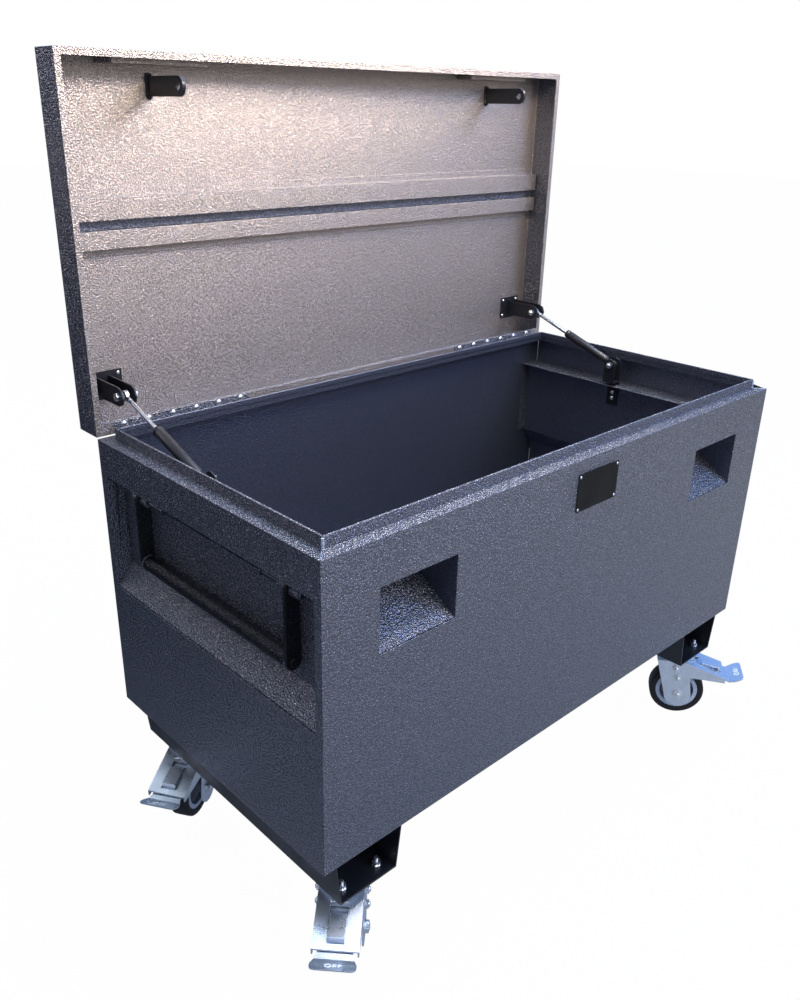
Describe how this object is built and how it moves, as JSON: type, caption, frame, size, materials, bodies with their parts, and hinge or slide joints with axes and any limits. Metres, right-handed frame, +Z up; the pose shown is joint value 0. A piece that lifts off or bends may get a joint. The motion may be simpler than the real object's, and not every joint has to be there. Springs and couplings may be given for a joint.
{
  "type": "jobsite storage box",
  "caption": "Long steel jobsite storage box with a hinged lid on gas struts, recessed padlock pockets, drop handles in recessed ends, and braked swivel casters under skids.",
  "frame": {"origin": "on the ground under the middle of the body, with the lid open", "axes": "+X along the box's length, to the right of someone who faces its front; +Y from the front towards the hinged rear; +Z up"},
  "size_m": [1.3435, 0.7596, 1.4161],
  "materials": {
    "charcoal_paint": "charcoal hammertone powder coat",
    "inside_paint": "charcoal hammertone powder coat",
    "lid_inside_paint": "hammertone powder coat, brightly lit",
    "black_paint": "black powder coat",
    "zinc": "bright zinc plate",
    "chrome": "polished",
    "tyre": "black rubber",
    "rim_plastic": "moulded grey",
    "plate_finish": "black, satin"
  },
  "bodies": {
    "body": {"front_panel": "charcoal_paint", "rear_panel": "charcoal_paint", "left_side_panel": "charcoal_paint", "right_side_panel": "charcoal_paint", "left_recess_insert": "inside_paint", "right_recess_insert": "inside_paint", "left_lock_pocket": "inside_paint", "right_lock_pocket": "inside_paint", "floor_panel": "inside_paint", "nameplate": "plate_finish", "left_skid": "black_paint", "right_skid": "black_paint", "left_body_hinge_leaf": "charcoal_paint", "right_body_hinge_leaf": "charcoal_paint", "left_hinge_pin": "zinc", "right_hinge_pin": "zinc", "left_strut_bracket": "black_paint", "right_strut_bracket": "black_paint", "left_handle_hinge": "inside_paint", "right_handle_hinge": "inside_paint", "left_handle_front_pin": "zinc", "right_handle_front_pin": "zinc", "left_handle_rear_pin": "zinc", "right_handle_rear_pin": "zinc", "front_left_caster_plate": "zinc", "front_right_caster_plate": "zinc", "rear_left_caster_plate": "zinc", "rear_right_caster_plate": "zinc"},
    "lid": {"lid_shell": "charcoal_paint", "lid_stiffener": "lid_inside_paint", "left_pry_bar": "lid_inside_paint", "right_pry_bar": "lid_inside_paint", "left_latch_tab": "black_paint", "right_latch_tab": "black_paint", "left_lid_clevis": "black_paint", "right_lid_clevis": "black_paint", "left_lid_hinge_leaf": "zinc", "right_lid_hinge_leaf": "zinc"},
    "left_strut_tube": {"left_strut_cylinder": "black_paint"},
    "left_strut_shaft": {"left_strut_rod": "chrome"},
    "right_strut_tube": {"right_strut_cylinder": "black_paint"},
    "right_strut_shaft": {"right_strut_rod": "chrome"},
    "left_drop_handle": {"left_handle": "black_paint"},
    "right_drop_handle": {"right_handle": "black_paint"},
    "front_left_swivel": {"front_left_caster_fork": "zinc"},
    "front_left_wheel": {"front_left_tyre": "tyre", "front_left_rim": "rim_plastic"},
    "front_left_brake": {"front_left_brake_lever": "zinc"},
    "front_right_swivel": {"front_right_caster_fork": "zinc"},
    "front_right_wheel": {"front_right_tyre": "tyre", "front_right_rim": "rim_plastic"},
    "front_right_brake": {"front_right_brake_lever": "zinc"},
    "rear_left_swivel": {"rear_left_caster_fork": "zinc"},
    "rear_left_wheel": {"rear_left_tyre": "tyre", "rear_left_rim": "rim_plastic"},
    "rear_left_brake": {"rear_left_brake_lever": "zinc"},
    "rear_right_swivel": {"rear_right_caster_fork": "zinc"},
    "rear_right_wheel": {"rear_right_tyre": "tyre", "rear_right_rim": "rim_plastic"},
    "rear_right_brake": {"rear_right_brake_lever": "zinc"}
  },
  "joints": [
    {"name": "lid_hinge", "type": "hinge", "parent": "body", "child": "lid", "pos_m": [0, 0.3049, 0.8052], "axis": [1, 0, 0], "range_deg": [0, 90]},
    {"name": "left_strut_tilt", "type": "hinge", "parent": "body", "child": "left_strut_tube", "pos_m": [-0.56, 0.045, 0.791], "axis": [1, 0, 0], "range_deg": [-21.25, 0]},
    {"name": "left_strut_slide", "type": "slide", "parent": "left_strut_tube", "child": "left_strut_shaft", "axis": [0, 0.9426, 0.3338], "range_m": [-0.0655, 0]},
    {"name": "right_strut_tilt", "type": "hinge", "parent": "body", "child": "right_strut_tube", "pos_m": [0.56, 0.045, 0.791], "axis": [1, 0, 0], "range_deg": [-21.25, 0]},
    {"name": "right_strut_slide", "type": "slide", "parent": "right_strut_tube", "child": "right_strut_shaft", "axis": [0, 0.9426, 0.3338], "range_m": [-0.0655, 0]},
    {"name": "left_handle_swing", "type": "hinge", "parent": "body", "child": "left_drop_handle", "pos_m": [-0.592, 0, 0.7195], "axis": [0, 1, 0], "range_deg": [0, 90]},
    {"name": "right_handle_swing", "type": "hinge", "parent": "body", "child": "right_drop_handle", "pos_m": [0.592, 0, 0.7195], "axis": [0, -1, 0], "range_deg": [0, 90]},
    {"name": "front_left_swivel_turn", "type": "hinge", "parent": "body", "child": "front_left_swivel", "pos_m": [-0.51, -0.235, 0.15], "axis": [0, 0, 1], "continuous": true},
    {"name": "front_left_wheel_turn", "type": "hinge", "parent": "front_left_swivel", "child": "front_left_wheel", "pos_m": [-0.52938, -0.25307, 0.0625], "axis": [0.682, -0.7314, 0], "continuous": true},
    {"name": "front_left_brake_press", "type": "hinge", "parent": "front_left_swivel", "child": "front_left_brake", "pos_m": [-0.5206, -0.24489, 0.1345], "axis": [0.682, -0.7314, 0], "range_deg": [0, 7.5]},
    {"name": "front_right_swivel_turn", "type": "hinge", "parent": "body", "child": "front_right_swivel", "pos_m": [0.51, -0.235, 0.15], "axis": [0, 0, 1], "continuous": true},
    {"name": "front_right_wheel_turn", "type": "hinge", "parent": "front_right_swivel", "child": "front_right_wheel", "pos_m": [0.52558, -0.25644, 0.0625], "axis": [0.809, 0.5878, 0], "continuous": true},
    {"name": "front_right_brake_press", "type": "hinge", "parent": "front_right_swivel", "child": "front_right_brake", "pos_m": [0.51852, -0.24673, 0.1345], "axis": [0.809, 0.5878, 0], "range_deg": [0, 7.5]},
    {"name": "rear_left_swivel_turn", "type": "hinge", "parent": "body", "child": "rear_left_swivel", "pos_m": [-0.51, 0.235, 0.15], "axis": [0, 0, 1], "continuous": true},
    {"name": "rear_left_wheel_turn", "type": "hinge", "parent": "rear_left_swivel", "child": "rear_left_wheel", "pos_m": [-0.53222, 0.22057, 0.0625], "axis": [0.5446, -0.8387, 0], "continuous": true},
    {"name": "rear_left_brake_press", "type": "hinge", "parent": "rear_left_swivel", "child": "rear_left_brake", "pos_m": [-0.52216, 0.2271, 0.1345], "axis": [0.5446, -0.8387, 0], "range_deg": [0, 7.5]},
    {"name": "rear_right_swivel_turn", "type": "hinge", "parent": "body", "child": "rear_right_swivel", "pos_m": [0.51, 0.235, 0.15], "axis": [0, 0, 1], "continuous": true},
    {"name": "rear_right_wheel_turn", "type": "hinge", "parent": "rear_right_swivel", "child": "rear_right_wheel", "pos_m": [0.53382, 0.24662, 0.0625], "axis": [-0.4384, 0.8988, 0], "continuous": true},
    {"name": "rear_right_brake_press", "type": "hinge", "parent": "rear_right_swivel", "child": "rear_right_brake", "pos_m": [0.52303, 0.24136, 0.1345], "axis": [-0.4384, 0.8988, 0], "range_deg": [0, 7.5]}
  ],
  "couplings": [
    {"joint": "left_strut_tilt", "follows": "lid_hinge", "ratio": -0.2358},
    {"joint": "left_strut_slide", "follows": "lid_hinge", "m_per_rad": -0.04164},
    {"joint": "right_strut_tilt", "follows": "lid_hinge", "ratio": -0.2358},
    {"joint": "right_strut_slide", "follows": "lid_hinge", "m_per_rad": -0.04164}
  ]
}
